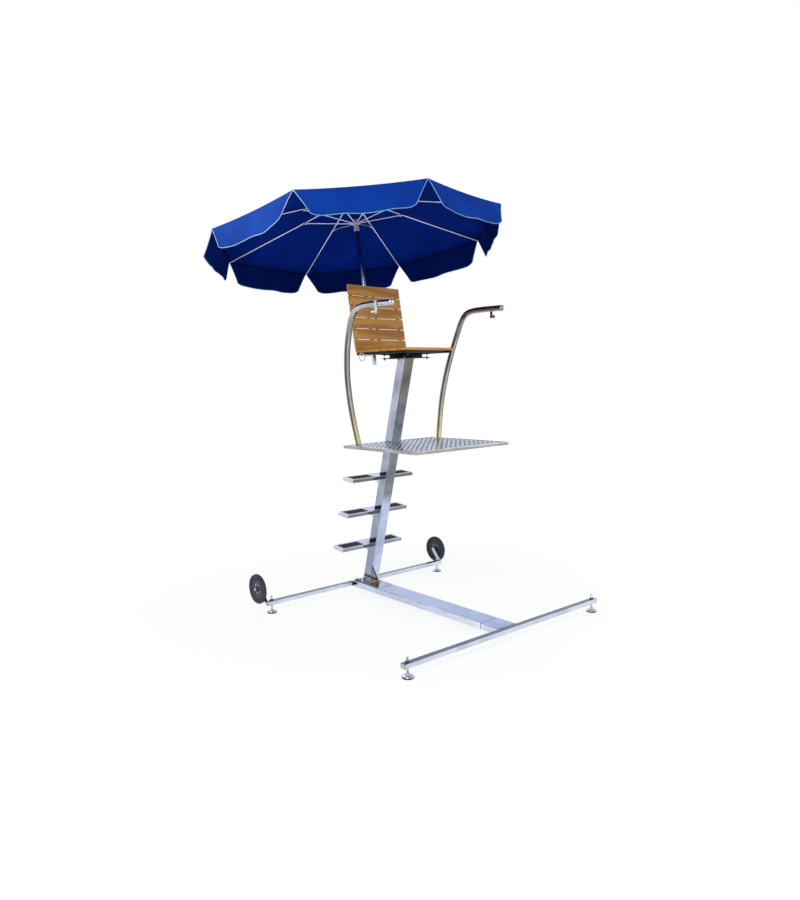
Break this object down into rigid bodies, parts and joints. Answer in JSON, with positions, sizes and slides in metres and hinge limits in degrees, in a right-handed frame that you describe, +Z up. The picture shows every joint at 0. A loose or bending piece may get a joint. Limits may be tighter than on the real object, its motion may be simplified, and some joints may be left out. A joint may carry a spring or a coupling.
{
  "type": "lifeguard chair",
  "caption": "Tall portable lifeguard chair: leaning mast with treads, railed deck, swivel slatted seat and octagonal umbrella on a wheeled base with levelling feet.",
  "frame": {"origin": "middle of the overall box at the level of the foot rubbers' undersides, so the ground is z = 0", "axes": "+Z up along the height; the base faces -Y and the seat is turned 9 degrees from it; the wheels and treads are at +Y, and left and right in the names are as seen from the front"},
  "size_m": [2.4888, 2.8803, 3.5491],
  "materials": {
    "stainless": "polished, reflecting",
    "light_metal": "satin",
    "chequer_plate": "raised diamond pattern",
    "dark_gap": "dull",
    "black_steel": "satin black",
    "grip_pad": "gritty",
    "foot_rubber": "matte",
    "tyre_rubber": "matte",
    "wheel_plastic": "satin",
    "teak": "oiled",
    "blue_cloth": "woven, matte"
  },
  "bodies": {
    "frame": {"front_crossbar": "stainless", "base_beam": "stainless", "splice_sleeves": "dark_gap", "rear_bar_left": "stainless", "rear_bar_right": "stainless", "mast_foot_plate": "stainless", "mast_foot_bolts": "stainless", "mast": "stainless", "tread_lower": "stainless", "tread_middle": "stainless", "tread_upper": "stainless", "tread_pads": "grip_pad", "deck_rim": "stainless", "deck_plate": "chequer_plate", "deck_bearers": "stainless", "rail_left": "stainless", "rail_right": "stainless", "rail_flanges": "stainless", "rail_hooks": "stainless", "foot_nuts": "stainless", "wheel_arms": "stainless", "axle_bolts": "stainless", "swivel_base": "black_steel"},
    "foot_front_left": {"foot_front_left": "stainless", "pad_front_left": "foot_rubber"},
    "foot_front_right": {"foot_front_right": "stainless", "pad_front_right": "foot_rubber"},
    "foot_rear_left": {"foot_rear_left": "stainless", "pad_rear_left": "foot_rubber"},
    "foot_rear_right": {"foot_rear_right": "stainless", "pad_rear_right": "foot_rubber"},
    "wheel_left": {"tyre_left": "tyre_rubber", "rim_left": "wheel_plastic"},
    "wheel_right": {"tyre_right": "tyre_rubber", "rim_right": "wheel_plastic"},
    "seat": {"swivel_top": "black_steel", "seat_frame": "black_steel", "seat_slats": "teak", "back_slats": "teak", "pole_socket": "stainless", "umbrella_pole": "stainless", "umbrella_hubs": "light_metal", "umbrella_ribs": "light_metal", "umbrella_struts": "light_metal", "canopy": "blue_cloth", "valance": "blue_cloth", "pull_ring": "stainless"}
  },
  "joints": [
    {"name": "seat_swivel", "type": "hinge", "parent": "frame", "child": "seat", "pos_m": [0.0933, -0.29675, 2.1615], "axis": [0, 0, 1], "continuous": true},
    {"name": "wheel_left_spin", "type": "hinge", "parent": "frame", "child": "wheel_left", "pos_m": [-0.9482, 0.51179, 0.203], "axis": [1, 0, 0], "continuous": true},
    {"name": "wheel_right_spin", "type": "hinge", "parent": "frame", "child": "wheel_right", "pos_m": [1.1348, 0.51179, 0.203], "axis": [1, 0, 0], "continuous": true},
    {"name": "foot_front_left_level", "type": "slide", "parent": "frame", "child": "foot_front_left", "axis": [0, 0, 1], "range_m": [-0.02, 0.02]},
    {"name": "foot_front_right_level", "type": "slide", "parent": "frame", "child": "foot_front_right", "axis": [0, 0, 1], "range_m": [-0.02, 0.02]},
    {"name": "foot_rear_left_level", "type": "slide", "parent": "frame", "child": "foot_rear_left", "axis": [0, 0, 1], "range_m": [-0.02, 0.02]},
    {"name": "foot_rear_right_level", "type": "slide", "parent": "frame", "child": "foot_rear_right", "axis": [0, 0, 1], "range_m": [-0.02, 0.02]}
  ]
}
